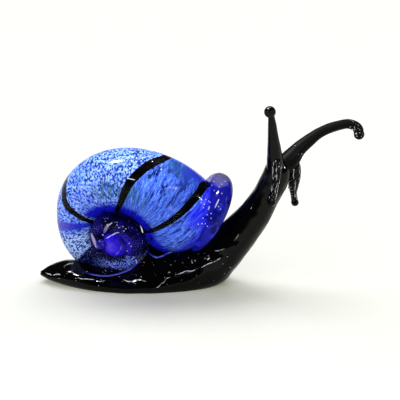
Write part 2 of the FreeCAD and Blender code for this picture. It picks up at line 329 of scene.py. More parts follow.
glass = bmesh.new()
for line in painted_highlight_lines:
    laid_thread(glass, [tuple(body_skin.find_nearest(Vector(row))[0]) for row in line],
                highlight_line_radius)
chance = random.Random(11)
for _ in range(flank_painted_glints):
    over_foot = Vector((
        chance.uniform(*glints_along), chance.choice((-1, 1)) * chance.uniform(*glints_out),
        chance.uniform(*glints_up)))
    middle = body_skin.find_nearest(over_foot)[0]
    middle.z = max(middle.z, glint_floor)
    size = chance.uniform(*flank_glint_sizes)
    bmesh.ops.create_icosphere(
        glass, subdivisions=2, radius=1.0, matrix=Matrix.Translation(middle)
        @ Matrix.Diagonal((size * chance.uniform(1.0, flank_glint_stretch), size, size, 1)))
set_down(glass, "flank_painted_glints", ["snail_body"], painted_highlight_white)

# Eye stalks and feelers: rods and drops drawn out of the hot head with a black rod, each
# ending in a bead where the flame cut it off. The hooked stalk is dull with soot. White specks
# and hairs on it and on the feelers are painted glints and painted highlights.

near_stalk_shares = (
    (0.00, 0.00, 0.00, 1.00), (0.13, 0.14, 0.13, 0.88), (0.46, 0.49, 0.46, 0.67),
    (0.79, 0.80, 0.79, 0.48), (1.02, 1.00, 1.00, 0.36), (1.30, 1.06, 1.11, 0.36),
)
far_stalk_shares = (
    (-0.07, -0.06, -0.13, 2.10), (0.065, 0.08, 0.16, 1.88), (0.14, 0.17, 0.34, 1.56),
    (0.23, 0.27, 0.50, 1.38), (0.42, 0.47, 0.78, 1.15), (0.61, 0.65, 0.93, 1.05),
    (0.80, 0.82, 1.00, 0.99), (0.90, 0.90, 0.96, 1.00), (0.975, 0.97, 0.84, 1.04),
    (1.00, 1.00, 0.645, 1.05),
)
near_feeler_shares = (
    (0.0, 0.00, 0.00, 0.90), (0.0, 0.18, 0.18, 1.15), (0.1, 0.45, 0.45, 1.05),
    (0.5, 0.75, 0.75, 0.90), (1.0, 1.00, 1.00, 0.85),
)
far_feeler_shares = (
    (-0.6, 0.00, 0.00, 0.80), (0.2, 0.20, 0.16, 1.05), (0.4, 0.40, 0.38, 1.08),
    (0.2, 0.60, 0.60, 0.86), (0.4, 0.80, 0.78, 0.58), (1.0, 1.00, 1.00, 0.52),
)
rod_sides, rod_steps = 40, 8
rod_ripple, rod_ripple_spread = 0.22, 1.5
bead_sides, bead_rings = 40, 24
rod_glint_sizes, rod_glint_stretch, rod_glint_stray = (0.05, 0.11), 2.6, 0.3

pit_depth = 0.00045
pits_below_z, no_pits_above_z = 28.5, 30.0
pitted_black, tree, shader = new_finish("pitted black glass")
drooping = ramp(split(place_in_piece())[2], no_pits_above_z * mm, pits_below_z * mm)
feed(shader, {"Base Color": (0.0022, 0.0022, 0.0028, 1), "Roughness": 0.035,
              "Specular IOR Level": 0.10,
              "Normal": bumps(times(mottle(1250.0, 1.0), drooping), 1.0, pit_depth)})

sooty_black, tree, shader = new_finish("sooty black glass")
feed(shader, {"Base Color": ramp(mottle(300.0), 0.3, 0.7, 0.001, 0.004), "Roughness": 0.5,
              "Specular IOR Level": 0.05})


def drawn_rod(glass, root, reach, radius, stations):
    """A rod along a given line from its root: its centres and its radii."""
    rows = eased(stations, rod_steps)
    start = head_top + Vector(root) * neck_radius
    centres = [start + Vector((reach[0] * row[0], reach[1] * row[1], reach[2] * row[2]))
               for row in rows]
    hoops = []
    for index, row in enumerate(rows):
        direction = heading(centres, index).normalized()
        across = (Vector((0, 1, 0)) - direction * direction.y).normalized()
        over = direction.cross(across)
        points, edges = hoop(glass, rod_sides)
        for point in points:
            spoke = across * point.co.x + over * point.co.y
            point.co = centres[index] + spoke * (radius * row[3])
            point.co += spoke * ripple(point.co * rod_ripple_spread, rod_ripple)
        hoops.append((points, edges))
    drawn_out(glass, hoops)
    return centres, [radius * row[3] for row in rows]


def bead(glass, centre, radius):
    """The round drop at the end of a rod."""
    bmesh.ops.create_uvsphere(
        glass, u_segments=bead_sides, v_segments=bead_rings, radius=radius,
        matrix=Matrix.Translation(centre))


def scatter_painted_glints(name, nodes, centres, radii, first, last, count, seed):
    """Painted glints: tiny white specks at the skin of a rod, from its first share to its last.
    """
    chance = random.Random(seed)
    glass = bmesh.new()
    for _ in range(count):
        index = round((len(centres) - 1) * chance.uniform(first, last))
        way = Vector((chance.uniform(-1, 1), chance.uniform(-1, 1), chance.uniform(-1, 1)))
        ahead = heading(centres, index).normalized()
        way = (way - ahead * way.dot(ahead)).normalized()
        stray = chance.uniform(-rod_glint_stray, rod_glint_stray)
        middle = centres[index] + way * radii[index] + ahead * stray
        size = chance.uniform(*rod_glint_sizes)
        bmesh.ops.create_icosphere(
            glass, subdivisions=2, radius=1.0,
            matrix=Matrix.Translation(middle) @ ahead.to_track_quat("Z", "Y").to_matrix().to_4x4()
            @ Matrix.Diagonal((size, size, size * chance.uniform(1.0, rod_glint_stretch), 1)))
    set_down(glass, name, nodes, painted_highlight_white)


for name, root, reach, radius, stations, bead_radius, finish in (
    ("near_eye", (-0.34, -0.37, -0.37), (-1.19, -3.50, 11.6), 2.0, near_stalk_shares, 1.25,
     black_glass),
    ("far_eye", (0.40, 0.29, -0.37), (15.9, 5.99, 7.30), 1.05, far_stalk_shares, 1.17,
     sooty_black),
):
    glass = bmesh.new()
    centres, radii = drawn_rod(glass, root, reach, radius, stations)
    set_down(glass, name + "_rod", [name + "_stalk"], finish)
    glass = bmesh.new()
    bead(glass, centres[-1], bead_radius)
    set_down(glass, name + "_drop", [name + "_bead"], finish)
# White specks on the hooked stalk and near its root: painted glints
scatter_painted_glints("hook_painted_glints", ["far_eye_stalk"], centres, radii, 0.70, 1.0, 60, 3)
scatter_painted_glints("root_painted_glints", ["far_eye_stalk"], centres, radii, 0.12, 0.30, 14, 5)

feeler_ball_radius = 0.85
feeler_highlight_share, highlight_wander = 0.6, 0.22
feeler_highlight_runs = ((-0.8, 2, -8), (0.75, 8, -3), (-0.1, 4, 18), (0.2, 18, -6))
for name, root, reach, radius, stations in (
    ("near_feeler", (-0.29, -0.89, 0.24), (-1.0, -1.0, -9.4), 0.86, near_feeler_shares),
    ("far_feeler", (0.80, 0.46, -0.20), (0.5, 0.5, -9.9), 1.36, far_feeler_shares),
):
    glass = bmesh.new()
    centres, radii = drawn_rod(glass, root, reach, radius, stations)
    bead(glass, centres[-1], feeler_ball_radius)
    set_down(glass, name + "_drop", [name], pitted_black)
    # White specks on the feeler: painted glints
    scatter_painted_glints(name + "_painted_glints", [name], centres, radii, 0.02, 1.0, 75, 9)
    # White hairs along the feeler's edges: painted highlights
    glass = bmesh.new()
    for side, first, last in feeler_highlight_runs:
        line = []
        for centre, thick in list(zip(centres, radii))[first:last]:
            aside = side + highlight_wander * noise.noise(centre * 0.9 + Vector((side, 0, 0)))
            line.append(tuple(
                centre + Vector((aside, -math.sqrt(1 - side * side), 0)) * thick))
        laid_thread(glass, line, highlight_line_radius * feeler_highlight_share)
    set_down(glass, name + "_highlight_hairs", [name], painted_highlight_white)

# Foil core of the shell: blue glass rolled over crackled silver foil, tapered and wound
# into a coil round a cone. Where it was stretched, the foil tears into streaks.

shell_x = -7.2
shell_side = -4.0
mouth_tube_radius = 8.9
shell_sink = 2.0
casing_thickness = 0.67
coil_radius = 1.54 * mouth_tube_radius
coil_depth = 1.146 * mouth_tube_radius
whorl_growth = 3.2
whorl_sag = 1.5
sag_place, sag_reach, sag_forward = 340.0, 110.0, 0.3
mouth_bearing = 21.5
spire_pitch, spire_yaw = math.radians(14.5), math.radians(20.5)
mouth_advance, mouth_drift, mouth_drop = 5.8, 1.0, 0.9
mouth_rim_radius = 7.2
mouth_span = 30.0
mouth_belly_depth = 0.62
belly_place, belly_reach = -16.0, 34.0
rear_place, rear_reach, rear_fullness, rear_slump = 200.0, 60.0, 0.05, 0.45
top_place, top_reach, top_hollow = 40.0, 42.0, 0.022
gather_end, spire_end = 330.0, 680.0
spire_lean, spire_lift, spire_rise = 2.4, 0.7, 1.5
foil_share = 1 - casing_thickness / mouth_tube_radius
tube_sides, tube_step = 96, 3.0

spire_axis = Vector((
    -math.sin(spire_yaw) * math.cos(spire_pitch),
    -math.cos(spire_yaw) * math.cos(spire_pitch), -math.sin(spire_pitch)))
coil_right = (Vector((1, 0, 0)) - spire_axis * spire_axis.x).normalized()
coil_up = spire_axis.cross(coil_right)


def coil_offset(back):
    shrink = whorl_growth ** (-back / 360)
    bearing = math.radians(mouth_bearing + back)
    outward = coil_right * math.cos(bearing) + coil_up * math.sin(bearing)
    return (outward * coil_radius - spire_axis * coil_depth) * shrink


def coil_direction(back):
    return (coil_offset(back - 1) - coil_offset(back + 1)).normalized()


def swell(back, place, reach):
    """A smooth hump along the tube, 1 at its place and 0 beyond its reach."""
    return max(0.0, 1 - ((back - place) / reach) ** 2) ** 2


def whorl_shift(back):
    slump = Vector((sag_forward, 0, -1)) * (whorl_sag * swell(back, sag_place, sag_reach))
    slump -= Vector((1, 0, 1)) * (rear_slump * swell(back, rear_place, rear_reach))
    share = max(0.0, (back - gather_end) / (spire_end - gather_end))
    return slump + (Vector((-spire_lean, 0, spire_lift)) + spire_axis * spire_rise) * share ** 3


shell_apex = Vector((
    shell_x, shell_side, ridge_height - shell_sink + mouth_tube_radius - coil_offset(0).z))
coil_end = shell_apex + coil_offset(0)
mouth_facing = Vector((0.88, 0.16, -0.45)).normalized()
mouth_centre = coil_end + Vector((mouth_advance, mouth_drift, -mouth_drop))


def tube_station(back):
    """Centre, outward side, direction and radius of the wound tube, in degrees from its mouth."""
    if back >= 0:
        centre = shell_apex + coil_offset(back) + whorl_shift(back)
        direction = coil_direction(back)
        radius = mouth_tube_radius * whorl_growth ** (-back / 360)
        radius *= (1 + rear_fullness * swell(back, rear_place, rear_reach)
                   - top_hollow * swell(back, top_place, top_reach))
    else:
        ahead = -back / mouth_span
        start = coil_direction(0)
        bend = coil_end + start * (mouth_advance / 2)
        centre = (coil_end * (1 - ahead) ** 2 + bend * (2 * ahead * (1 - ahead))
                  + mouth_centre * ahead ** 2)
        direction = (start * (1 - ahead) + mouth_facing * ahead).normalized()
        radius = mouth_tube_radius + (mouth_rim_radius - mouth_tube_radius) * ahead ** 2
    belly = mouth_belly_depth * swell(back, belly_place, belly_reach)
    return (centre - Vector((0, 0, belly)), spire_axis.cross(direction).normalized(),
            direction, radius + belly)


def wound_tube(glass, first, last, step, sides, share):
    """The tube's skin. Each point keeps its place on it: across, towards the eye and turns
    back from the mouth in spot, and its place in the straight, unwound gather in wound."""
    spot = glass.verts.layers.float_vector.new("spot")
    wound = glass.verts.layers.float_vector.new("wound")
    count = round((last - first) / step)
    hoops = []
    travel = 0.0
    before = tube_station(first)[0]
    for index in range(count + 1):
        back = first + (last - first) * index / count
        centre, across, direction, radius = tube_station(back)
        over = direction.cross(across)
        radius *= share
        travel += (centre - before).length
        before = centre
        points, edges = hoop(glass, sides)
        for point in points:
            side, near = point.co.x, point.co.y
            point[spot] = (side, near, back / 360)
            point[wound] = (side * radius, near * radius, travel)
            point.co = centre + (across * side + over * near) * radius
        hoops.append((points, edges))
    drawn_out(glass, hoops)


foil_glass, tree, shader = new_finish("foil glass")
spot = node("ShaderNodeAttribute", attribute_name="spot").outputs["Vector"]
wound = node("ShaderNodeAttribute", attribute_name="wound").outputs["Vector"]
outward, nearward, turns_back = split(spot)


def fade(value, low, high):
    """0 below low, 1 above high, smooth between, or the other way round."""
    return node("ShaderNodeMapRange", {
        "Value": value, "From Min": low, "From Max": high}, interpolation_type="SMOOTHSTEP"
    ).outputs[0]


def band(value, low, high, soft):
    """1 between low and high, 0 outside, with soft edges."""
    return times(fade(value, low - soft, low + soft), fade(value, high + soft, high - soft))


def grain(stretch, scale, detail=3.0, roughness=0.55, offset=0.0):
    """Noise in the unwound gather, drawn out round the tube by the stretch."""
    placed = node("ShaderNodeMapping", {
        "Vector": wound, "Scale": (stretch, stretch, 1), "Location": (offset, 0, 0)})
    return node("ShaderNodeTexNoise", {
        "Vector": placed.outputs[0], "Scale": scale, "Detail": detail,
        "Roughness": roughness}).outputs[0]


def blended(share, under, over, most=1.0):
    """One colour laid over another, as strong as its share times most."""
    if most < 1.0:
        share = times(share, most)
    return node("ShaderNodeMix", {0: share, 6: under, 7: over}, data_type="RGBA").outputs[2]


silver_blue = (0.36, 0.56, 1.0, 1)
pale_silver = (0.62, 0.82, 1.0, 1)
thin_silver = (0.26, 0.38, 1.0, 1)
dim_silver = (0.16, 0.22, 0.80, 1)
mid_blue = (0.055, 0.16, 1.0, 1)
pit_blue = (0.005, 0.014, 0.20, 1)
streak_blue = (0.075, 0.20, 0.85, 1)
streak_dark = (0.022, 0.060, 0.55, 1)
front_streak = (0.045, 0.065, 0.80, 1)
front_tear = (0.006, 0.010, 0.32, 1)
panel_end_blue = (0.020, 0.022, 0.50, 1)
panel_right_blue = (0.012, 0.030, 0.22, 1)
flecked_blue = (0.008, 0.008, 0.24, 1)
painted_refraction_blue = (0.08, 0.12, 1.0, 1)
cobalt = (0.007, 0.009, 0.60, 1)
navy = (0.001, 0.0015, 0.05, 1)
sea_green = (0.012, 0.090, 0.085, 1)
deep_teal = (0.014, 0.045, 0.24, 1)
violet = (0.075, 0.055, 0.42, 1)
smoke = (0.002, 0.0025, 0.035, 1)
clear_grey = (0.026, 0.026, 0.040, 1)
stretch_slant, gap_slant, raggedness = 0.217, 0.10, 34.0

# Degrees back from the mouth and round the tube, and the grains of the pattern
turned = times(turns_back, 360.0)
around = times(math_node("ARCTAN2", nearward, outward), 180 / math.pi)
stretch_edge = math_node("SUBTRACT", turned, times(around, stretch_slant))
ragged = times(math_node("SUBTRACT", grain(0.5, 0.9, 3.0, offset=31.0), 0.5), raggedness)
flecks = grain(0.60, 4.0, 1.5, 0.5)
dashes = grain(0.48, 3.3, 1.0, 0.5, offset=3.0)
broad = grain(0.8, 0.35, 2.0, offset=7.0)
streaks = grain(0.06, 4.6, 2.0, 0.6, offset=5.0)
threads = grain(0.14, 7.0, 1.0, 0.5, offset=17.0)
tears = grain(0.22, 1.3, 3.0, 0.7, offset=11.0)

# Crackle, and the streaks and tears where the gather was stretched
crackle = blended(fade(flecks, 0.42, 0.56), mid_blue, silver_blue)
crackle = blended(fade(broad, 0.50, 0.66), crackle, streak_blue, 0.40)
crackle = blended(fade(dashes, 0.515, 0.555), crackle, pit_blue, 0.95)
lines = blended(fade(streaks, 0.38, 0.60), streak_dark, streak_blue)
lines = blended(fade(threads, 0.54, 0.66), lines, silver_blue, 0.45)
scratched = times(fade(tears, 0.53, 0.58), band(around, -30.0, 75.0, 12.0))
lines = blended(scratched, lines, navy, 0.9)
front_tears = times(fade(tears, 0.50, 0.62), fade(turned, 7.0, 3.0))
lines = blended(front_tears, lines, front_tear, 0.8)
foil = blended(fade(stretch_edge, 39.0, 37.0), crackle, lines)

# Teal where the foil tore, and its shade near the top of the front panel
greens = times(band(turned, 34.0, 84.0, 8.0), band(around, 62.0, 94.0, 10.0))
greens = math_node("MULTIPLY_ADD", band(turned, 6.0, 32.0, 4.0), band(around, -35.0, 8.0, 8.0),
                   greens, clamp=True)
green_noise = fade(grain(0.25, 1.3, 3.0, offset=21.0), 0.43, 0.55)
foil = blended(times(greens, green_noise), foil, sea_green, 0.72)
top_shade = times(band(turned, 7.0, 30.0, 7.0), fade(around, 30.0, 0.0))
top_noise = fade(grain(0.30, 1.0, 3.0, offset=61.0), 0.40, 0.58)
foil = blended(times(top_shade, top_noise), foil, deep_teal, 0.85)

# Deep blue at the ends of the panels and towards the eye of the coil
inner = math_node("MULTIPLY_ADD", ragged, 0.55, around)
deep_blue = blended(fade(grain(0.5, 0.6, 2.0, offset=41.0), 0.48, 0.66), cobalt, navy)
panel_end = times(band(turned, 2.0, 20.0, 8.0), fade(around, 12.0, -18.0))
foil = blended(panel_end, foil, panel_end_blue, 0.85)
panel_right = times(band(turned, 8.0, 26.0, 5.0), fade(around, 75.0, 45.0))
foil = blended(panel_right, foil, panel_right_blue, 0.42)
deep = times(fade(inner, 99.0, 117.0), fade(turned, 133.0, 122.0))
foil = blended(deep, foil, deep_blue)
far_inner = fade(math_node("ABSOLUTE", around), 132.0, 150.0)
foil = blended(far_inner, foil, deep_blue)

# Violet gap where the foil's ends don't meet, with bright foil beyond it
below_gap = times(band(turned, 166.0, 203.0, 4.0), fade(dashes, 0.53, 0.48))
foil = blended(below_gap, foil, pale_silver, 0.6)
gap = band(math_node("MULTIPLY_ADD", around, gap_slant, turned), 155.0, 166.0, 1.5)
foil = blended(gap, foil, blended(fade(around, 60.0, 110.0), violet, cobalt), 0.92)

# Last whorl, in dark clear glass with little foil
last_edge = math_node("MULTIPLY_ADD", ragged, 0.12, turned)
flecked_edge = math_node("MULTIPLY_ADD", ragged, 0.4, around)
flecked = times(band(flecked_edge, 68.0, 106.0, 8.0), fade(turned, 218.0, 262.0))
last_whorl = blended(band(around, -10.0, 60.0, 9.0), smoke, clear_grey)
last_whorl = blended(flecked, last_whorl, flecked_blue, 0.8)
last_whorl = blended(times(fade(flecks, 0.50, 0.54), flecked), last_whorl, thin_silver)
last_whorl = blended(fade(flecks, 0.60, 0.64), last_whorl, dim_silver, 0.5)
last_whorl = blended(fade(around, 0.0, -25.0), last_whorl, foil)
# Bright blue line along the whorl's lower edge: a painted refraction highlight
painted_refraction_line = times(band(around, 57.0, 63.0, 2.5), band(turned, 215.0, 322.0, 6.0))
last_whorl = blended(painted_refraction_line, last_whorl, painted_refraction_blue, 0.9)
foil = blended(fade(last_edge, 199.0, 203.0), foil, last_whorl)

# Deep blue glass behind the mouth, in front of the first thread
front_top = fade(math_node("ADD", around, ragged), 62.0, 46.0)
front_rim = fade(math_node("MULTIPLY_ADD", ragged, 0.35, turned), -10.0, -22.0)
front_deep = times(math_node("MAXIMUM", front_top, front_rim), fade(turned, 6.0, 4.0))
front_blue = blended(fade(streaks, 0.40, 0.62), cobalt, front_streak)
front_blue = blended(fade(grain(0.4, 0.5, 2.0, offset=51.0), 0.50, 0.64), front_blue, navy)
feed(shader, {"Base Color": blended(front_deep, foil, front_blue), "Roughness": 0.45,
              "Specular IOR Level": 0.0, "Normal": bumps(flecks, 0.4, 0.0002)})

glass = bmesh.new()
wound_tube(glass, -mouth_span, gather_end, tube_step, tube_sides, foil_share)
set_down(glass, "foil_core", ["shell_core"], foil_glass)

# Threads: three rods of black glass laid round the foil while it was hot, wide on the outer
# side of the coil and drawn thin towards its middle.

thread_lines = {
    "stripe_front": ((-180, 3.5), (-140, -3.0), (-100, -7.5), (-60, -6.0), (-20, 5.5),
                     (20, 7.8), (60, 8.3), (100, 9.2), (140, 8.0)),
    "stripe_middle": ((-180, 73.5), (-140, 47.0), (-100, 34.5), (-60, 32.0), (-20, 34.5),
                      (20, 43.0), (60, 51.5), (100, 58.0), (140, 70.0)),
    "stripe_rear": ((-180, 172.0), (-140, 157.0), (-100, 134.5), (-60, 122.0), (-20, 113.0),
                    (20, 115.5), (60, 125.5), (100, 130.0), (140, 141.0)),
}
thread_black, tree, shader = new_finish("black thread")
thread_dark, thread_dusty = (0.0008, 0.0008, 0.0010, 1), (0.004, 0.004, 0.003, 1)
feed(shader, {"Base Color": blended(fade(mottle(700.0), 0.5, 0.8), thread_dark, thread_dusty),
              "Roughness": 0.6, "Specular IOR Level": 0.0})

thread_wide, thread_narrow, widest_turn, thread_uneven = 2.1, 0.75, 0.2, 0.18
thread_lift, thread_depth = 0.10, 0.30
thread_sides, thread_steps = 12, 144


def foil_point(back, turn):
    """A point on the foil, and the way out from the tube's middle to it."""
    centre, across, direction, radius = tube_station(back)
    spoke = across * math.cos(turn) + direction.cross(across) * math.sin(turn)
    return centre + spoke * (radius * foil_share), spoke


def thread_line(rows, step):
    """Place and turn of the thread's middle, on a smooth closed line through its rows."""
    place = step / thread_steps * len(rows)
    index = int(place)
    t = place - index
    a, b, c, d = (rows[(index + k) % len(rows)][1] for k in (-1, 0, 1, 2))
    back = 0.5 * (2 * b + (c - a) * t + (2 * a - 5 * b + 4 * c - d) * t * t
                  + (3 * b - a - 3 * c + d) * t ** 3)
    return back, 2 * math.pi * step / thread_steps - math.pi


for name, rows in thread_lines.items():
    glass = bmesh.new()
    hoops = []
    line = [thread_line(rows, step % thread_steps) for step in range(-1, thread_steps + 1)]
    for before, here, after in zip(line, line[1:], line[2:]):
        on_line, spoke = foil_point(*here)
        run = (foil_point(*after)[0] - foil_point(*before)[0]).normalized()
        wide = spoke.cross(run).normalized()
        share = 0.5 + 0.5 * math.cos(here[1] - widest_turn)
        uneven = 1 + thread_uneven * noise.noise(on_line * 0.45)
        half = (thread_narrow + (thread_wide - thread_narrow) * share) / 2 * uneven
        points, edges = hoop(glass, thread_sides)
        for point in points:
            rise = thread_lift if point.co.y > 0 else thread_depth
            point.co = on_line + wide * (half * point.co.x) + spoke * (rise * point.co.y)
        hoops.append((points, edges))
    drawn_out(glass, hoops, closed=True)
    set_down(glass, name + "_thread", [name], thread_black)

# Clear casing: a last gather of clear glass over foil and threads, which runs on over the
# spire. Fire polish leaves it smooth, with a few long waves. It bends light less than real
# glass, or the table's reflection would veil the threads.

clear_face, violet_edge = (0.93, 0.94, 1.0, 1), (0.20, 0.13, 0.55, 1)
clear_glass, tree, shader = new_finish("clear glass")
slant = node("ShaderNodeLayerWeight", {"Blend": 0.5}).outputs["Facing"]
feed(shader, {"Base Color": blended(fade(slant, 0.72, 0.97), clear_face, violet_edge),
              "Roughness": 0.08, "IOR": 1.18, "Transmission Weight": 1.0,
              "Specular IOR Level": 0.12, "Normal": bumps(mottle(160.0, 0.0), 0.15, 0.0005)})

glass = bmesh.new()
wound_tube(glass, -mouth_span, spire_end, tube_step, tube_sides, 1.0)
set_down(glass, "clear_casing", ["shell_casing"], clear_glass)

# Spire: the inner whorls, where the gather runs out in deep cobalt glass with no foil, the
# cone it was wound on, the drop where the rod was pulled off, and a bright dome painted with
# the light that gathers in the thick glass over it. The core has a painted glow and painted
# lilac reflections.

spire_sides, spire_step = 64, 4.0
spire_tip_radius = 1.05
painted_reflection_patch_depth = 8.0
tip_centre = tube_station(spire_end)[0]
glow_centre = tip_centre + Vector((3.6, -0.4, -0.6))
spire_dark, spire_blue = (0.0012, 0.001, 0.018, 1), (0.008, 0.005, 0.14, 1)
spire_glow, dust_blue = (0.022, 0.008, 0.50, 1), (0.42, 0.50, 0.90, 1)
painted_reflection_lilac, dim_painted_reflection_lilac = (0.42, 0.34, 0.60, 1), (0.36, 0.26, 0.50, 1)


def distance_from(point):
    """How far the skin is from a point in the glass, in metres."""
    return node("ShaderNodeVectorMath", {0: place_in_piece(), 1: tuple(point * mm)},
                operation="DISTANCE").outputs["Value"]


def painted_reflection_patch(centre, along, length, width):
    """1 in a long oval patch of the skin round a point, 0 outside it: where a reflection is
    painted.
    """
    way = Vector(along).normalized()
    offset = node("ShaderNodeVectorMath", {
        0: place_in_piece(), 1: tuple(Vector(centre) * mm)}, operation="SUBTRACT").outputs[0]
    far_off = 0.0
    for line, size in ((way, length), (way.cross(spire_axis).normalized(), width),
                       (spire_axis, painted_reflection_patch_depth)):
        along_line = node("ShaderNodeVectorMath", {0: offset, 1: tuple(line)},
                          operation="DOT_PRODUCT").outputs["Value"]
        share = times(along_line, 2 / (size * mm))
        far_off = math_node("MULTIPLY_ADD", share, share, far_off)
    return fade(far_off, 1.2, 0.7)


cobalt_core, tree, shader = new_finish("cobalt core")
cloud, dust = mottle(420.0), mottle(2300.0, 1.0)
# A painted glow round a point in the spire, for the light gathering in the thick glass
reach = distance_from(glow_centre)
glow = fade(math_node("MULTIPLY_ADD", cloud, 0.0014, reach), 0.0046, 0.0028)
spire_colour = blended(fade(cloud, 0.42, 0.60), spire_dark, spire_blue)
spire_colour = blended(glow, spire_colour, spire_glow)
dusted = times(fade(dust, 0.71, 0.74), fade(reach, 0.0040, 0.0054))
spire_colour = blended(dusted, spire_colour, dust_blue, 0.8)
# Lilac patches: painted reflections
spire_colour = blended(painted_reflection_patch((-10.0, -3.2, 10.4), (0.31, -0.12, -1.0), 3.6, 0.75),
                       spire_colour, painted_reflection_lilac)
spire_colour = blended(painted_reflection_patch((-7.2, -4.6, 13.6), (0.55, -0.05, 1.0), 2.8, 0.7),
                       spire_colour, dim_painted_reflection_lilac, 0.7)
feed(shader, {"Base Color": spire_colour, "Roughness": 0.4, "Specular IOR Level": 0.0})

glass = bmesh.new()
wound_tube(glass, gather_end, spire_end, spire_step, spire_sides, foil_share)
set_down(glass, "spire_core", ["shell_spire"], cobalt_core)

dome_centre = Vector((-5.6, -4.4, 9.8))
dome_rows = ((-1.0, 2.60), (-0.4, 2.85), (0.1, 2.80), (0.55, 2.45), (0.9, 1.80), (1.1, 1.05),
             (1.18, 0.40))
dome_sides, dome_steps = 64, 5
dome_blue, painted_glow_blue, painted_shade_rim_blue = (
    (0.030, 0.006, 0.95, 1), (0.11, 0.06, 1.0, 1), (0.040, 0.018, 0.34, 1))
dome_shade, cloud_blue = (0.004, 0.003, 0.09, 1), (0.006, 0.003, 0.30, 1)
glowing_cobalt, tree, shader = new_finish("glowing cobalt")
cloud = mottle(500.0, 1.0)
rightward, _, upward = split(place_in_piece())
reach = distance_from(dome_centre + Vector((-0.7, -0.9, -0.1)))
# The dome's colours are painted light: a painted glow spot, and painted shade on its right side
# and its top right
painted_glow_spot = fade(math_node("MULTIPLY_ADD", cloud, 0.0010, reach), 0.0024, 0.0007)
shaded = times(fade(rightward, -0.0052, -0.0036), fade(upward, 0.0094, 0.0108))
dome_colour = blended(painted_glow_spot, dome_blue, painted_glow_blue)
dome_colour = blended(fade(rightward, -0.0042, -0.0030), dome_colour, painted_shade_rim_blue, 0.7)
dome_colour = blended(shaded, dome_colour, dome_shade, 0.9)
dome_colour = blended(fade(cloud, 0.58, 0.70), dome_colour, cloud_blue, 0.6)
feed(shader, {"Base Color": dome_colour, "Roughness": 0.06, "Specular IOR Level": 0.10})


def round_form(glass, start, run, sides, rows):
    """A round form along a line, from how far out and how wide each of its rings is."""
    across = Vector((0, 0, 1)).cross(run).normalized()
    over = run.normalized().cross(across)
    drawn_out(glass, [
        ring(glass, sides, start + run * out, across * width, over * width)
        for out, width in rows])


glass = bmesh.new()
round_form(glass, dome_centre, spire_axis, dome_sides, eased(dome_rows, dome_steps))
set_down(glass, "spire_dome", ["shell_spire"], glowing_cobalt)

drop_blue, drop_pale = (0.010, 0.006, 0.34, 1), (0.09, 0.07, 0.62, 1)
drop_glass, tree, shader = new_finish("drop glass")
feed(shader, {"Base Color": blended(fade(mottle(900.0, 1.0), 0.40, 0.62), drop_blue, drop_pale),
              "Roughness": 0.05, "Specular IOR Level": 0.15})
glass = bmesh.new()
bead(glass, tip_centre, spire_tip_radius)
set_down(glass, "spire_drop", ["spire_tip"], drop_glass)

heart_depth, heart_radius, heart_sides = 7.5, 6.5, 64
heart_section_shares = ((0.0, 0.10), (0.80, 1.0), (0.92, 0.86), (0.98, 0.60), (1.0, 0.25))
heart_run = shell_apex - spire_axis * heart_depth - tip_centre
glass = bmesh.new()
round_form(glass, tip_centre, heart_run, heart_sides, [
    (depth, heart_radius * width) for depth, width in heart_section_shares])
set_down(glass, "cobalt_cone", ["shell_heart"], cobalt_core)

# Lip: the rim of the mouth, rolled outwards into a thick bead of clear cobalt glass. The bead
# is thickest at its top, where it is nearly clear, and thin on its far side.

lip_bead_radius, lip_set_back, lip_swell, far_thinning = 1.82, 0.2, 0.42, 0.36
lip_steps, lip_sides = 128, 48
lip_dark, lip_mid = (0.003, 0.004, 0.14, 1), (0.011, 0.014, 0.48, 1)
lip_bright, lip_clear = (0.025, 0.035, 0.85, 1), (0.44, 0.41, 0.78, 1)

cobalt_glass, tree, shader = new_finish("cobalt glass")
cloud, height = mottle(260.0, 3.0), split(place_in_piece())[2]
clear_top = fade(math_node("MULTIPLY_ADD", cloud, 0.003, height), 0.0244, 0.0258)
lip_blue = blended(fade(cloud, 0.40, 0.58), lip_dark, lip_mid)
lip_blue = blended(fade(mottle(620.0), 0.54, 0.68), lip_blue, lip_bright)
feed(shader, {"Base Color": blended(clear_top, lip_blue, lip_clear),
              "Transmission Weight": times(clear_top, 0.70), "Roughness": 0.06, "IOR": 1.50,
              "Specular IOR Level": 0.12})

glass = bmesh.new()
hoops = []
centre, across, direction, radius = tube_station(-mouth_span)
over = direction.cross(across)
for step in range(lip_steps):
    turn = 2 * math.pi * step / lip_steps
    outward_way = across * math.cos(turn) + over * math.sin(turn)
    middle = centre + outward_way * (radius - lip_set_back)
    thick = lip_bead_radius * (
        1 + lip_swell * outward_way.z - far_thinning * max(0, outward_way.y))
    hoops.append(ring(glass, lip_sides, middle, outward_way * thick, direction * thick))
drawn_out(glass, hoops, closed=True)
set_down(glass, "rolled_lip", ["shell_lip"], cobalt_glass)
